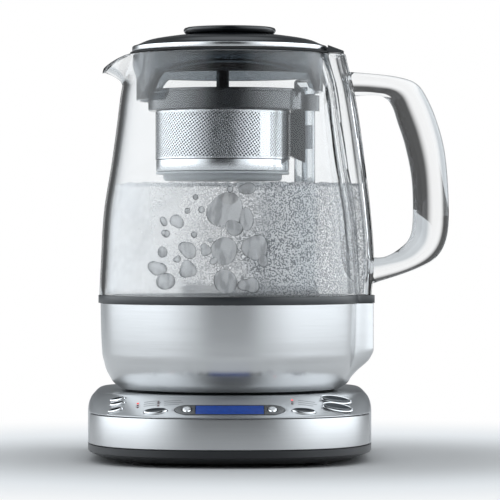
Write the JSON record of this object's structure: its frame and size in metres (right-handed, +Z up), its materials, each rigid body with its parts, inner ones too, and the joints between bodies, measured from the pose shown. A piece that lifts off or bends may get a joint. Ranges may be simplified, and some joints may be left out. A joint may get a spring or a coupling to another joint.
{
  "type": "automatic tea maker",
  "caption": "Glass jug with a steel foot on a power base with a sloping button panel, and a tea basket that travels on a post inside the jug.",
  "frame": {"origin": "on the table, under the middle of the whole object's width and depth", "axes": "+Z up; the control panel faces -Y; the spout points to -X and the handle to +X"},
  "size_m": [0.2159, 0.21, 0.2576],
  "materials": {
    "black_gloss": "gloss black",
    "brushed_steel": "brushed",
    "silver_case": "fine satin",
    "chrome": "mirror",
    "dark_plastic": "satin",
    "smoke_plastic": "smoked gloss",
    "grey_plastic": "satin",
    "display_blue": "lit blue",
    "clear_glass": "clear",
    "rubber": "matte",
    "board_green": "lacquered board",
    "copper": "drawn tube",
    "magnet_steel": "satin",
    "light_lens": "clear red"
  },
  "bodies": {
    "base": {"rubber_foot_1": "rubber", "rubber_foot_2": "rubber", "rubber_foot_3": "rubber", "rubber_foot_4": "rubber", "base_tray": "black_gloss", "case_screw_1": "chrome", "case_screw_2": "chrome", "case_screw_3": "chrome", "case_screw_4": "chrome", "top_housing": "silver_case", "steel_front_band": "brushed_steel", "cord_gland": "dark_plastic", "power_socket": "dark_plastic", "button_carrier": "dark_plastic", "control_board": "board_green", "display_bezel": "smoke_plastic", "display_window": "display_blue", "light_pipe_left": "light_lens", "light_pipe_middle": "light_lens", "light_pipe_right": "light_lens", "large_button_lower_ring": "chrome", "large_button_upper_ring": "chrome"},
    "small_button_1": {"small_button_1": "chrome"},
    "small_button_2": {"small_button_2": "chrome"},
    "small_button_3": {"small_button_3": "chrome"},
    "oval_button_left": {"oval_button_left": "smoke_plastic"},
    "oval_button_right": {"oval_button_right": "smoke_plastic"},
    "large_button_lower": {"large_button_lower": "smoke_plastic"},
    "large_button_upper": {"large_button_upper": "smoke_plastic"},
    "rocker_left": {"rocker_left": "chrome"},
    "rocker_right": {"rocker_right": "chrome"},
    "jug": {"jug_foot": "black_gloss", "jug_plug": "dark_plastic", "steel_lower_shell": "brushed_steel", "joint_ring": "dark_plastic", "glass_jug": "clear_glass", "jug_handle": "clear_glass", "heater_plate": "brushed_steel", "heating_element": "copper", "temperature_probe": "brushed_steel", "lift_post": "brushed_steel", "post_seal": "rubber", "lift_motor": "magnet_steel"},
    "lead_screw": {"lead_screw": "chrome"},
    "drive_magnet": {"drive_magnet": "magnet_steel"},
    "basket": {"basket_mesh": "brushed_steel", "basket_lower_band": "brushed_steel", "basket_base_cup": "grey_plastic", "basket_rim": "grey_plastic", "basket_arm": "grey_plastic", "follower_magnet_front": "magnet_steel", "follower_magnet_back": "magnet_steel"},
    "basket_lid": {"basket_lid": "smoke_plastic"},
    "lid": {"lid_seal": "rubber", "lid_band": "brushed_steel", "lid_dome": "smoke_plastic", "lid_grip": "black_gloss", "lid_skirt": "smoke_plastic", "spout_filter": "brushed_steel", "lid_rear_cover": "smoke_plastic"}
  },
  "joints": [
    {"name": "small_button_1_press", "type": "slide", "parent": "base", "child": "small_button_1", "axis": [0.3207, 0.3121, -0.8943], "range_m": [0, 0.0008], "stiffness_N_per_m": 400, "springref_m": -0.001},
    {"name": "small_button_2_press", "type": "slide", "parent": "base", "child": "small_button_2", "axis": [0.342, 0.3296, -0.88], "range_m": [0, 0.0008], "stiffness_N_per_m": 400, "springref_m": -0.001},
    {"name": "small_button_3_press", "type": "slide", "parent": "base", "child": "small_button_3", "axis": [0.4001, 0.3418, -0.8503], "range_m": [0, 0.0008], "stiffness_N_per_m": 400, "springref_m": -0.001},
    {"name": "oval_button_left_press", "type": "slide", "parent": "base", "child": "oval_button_left", "axis": [0.1228, 0.3229, -0.9384], "range_m": [0, 0.0008], "stiffness_N_per_m": 500, "springref_m": -0.001},
    {"name": "oval_button_right_press", "type": "slide", "parent": "base", "child": "oval_button_right", "axis": [-0.1228, 0.3229, -0.9384], "range_m": [0, 0.0008], "stiffness_N_per_m": 500, "springref_m": -0.001},
    {"name": "large_button_lower_press", "type": "slide", "parent": "base", "child": "large_button_lower", "axis": [-0.311, 0.337, -0.8886], "range_m": [0, 0.0008], "stiffness_N_per_m": 600, "springref_m": -0.001},
    {"name": "large_button_upper_press", "type": "slide", "parent": "base", "child": "large_button_upper", "axis": [-0.2689, 0.3191, -0.9088], "range_m": [0, 0.0008], "stiffness_N_per_m": 600, "springref_m": -0.001},
    {"name": "rocker_left_tilt", "type": "hinge", "parent": "base", "child": "rocker_left", "pos_m": [-0.04795, -0.0925, 0.03293], "axis": [0.9992, -0.0128, 0.0388], "range_deg": [-4, 4], "stiffness_Nm_per_rad": 0.05},
    {"name": "rocker_right_tilt", "type": "hinge", "parent": "base", "child": "rocker_right", "pos_m": [0.00105, -0.0925, 0.03293], "axis": [0.9992, 0.0128, -0.0388], "range_deg": [-4, 4], "stiffness_Nm_per_rad": 0.05},
    {"name": "jug_lift", "type": "slide", "parent": "base", "child": "jug", "axis": [0, 0, 1], "range_m": [0, 0.2]},
    {"name": "lid_lift", "type": "slide", "parent": "jug", "child": "lid", "axis": [0, 0, 1], "range_m": [0, 0.1]},
    {"name": "basket_travel", "type": "slide", "parent": "jug", "child": "basket", "axis": [0, 0, 1], "range_m": [-0.06, 0]},
    {"name": "basket_lid_lift", "type": "slide", "parent": "basket", "child": "basket_lid", "axis": [0, 0, 1], "range_m": [0, 0.016]},
    {"name": "lead_screw_turn", "type": "hinge", "parent": "jug", "child": "lead_screw", "pos_m": [0.02155, -0.00005, 0.0734], "axis": [0, 0, 1], "range_deg": [-1080, 0]},
    {"name": "drive_magnet_travel", "type": "slide", "parent": "jug", "child": "drive_magnet", "axis": [0, 0, 1], "range_m": [-0.06, 0]}
  ],
  "couplings": [
    {"joint": "lead_screw_turn", "follows": "basket_travel", "rad_per_m": 314.16},
    {"joint": "drive_magnet_travel", "follows": "basket_travel", "ratio": 1}
  ]
}
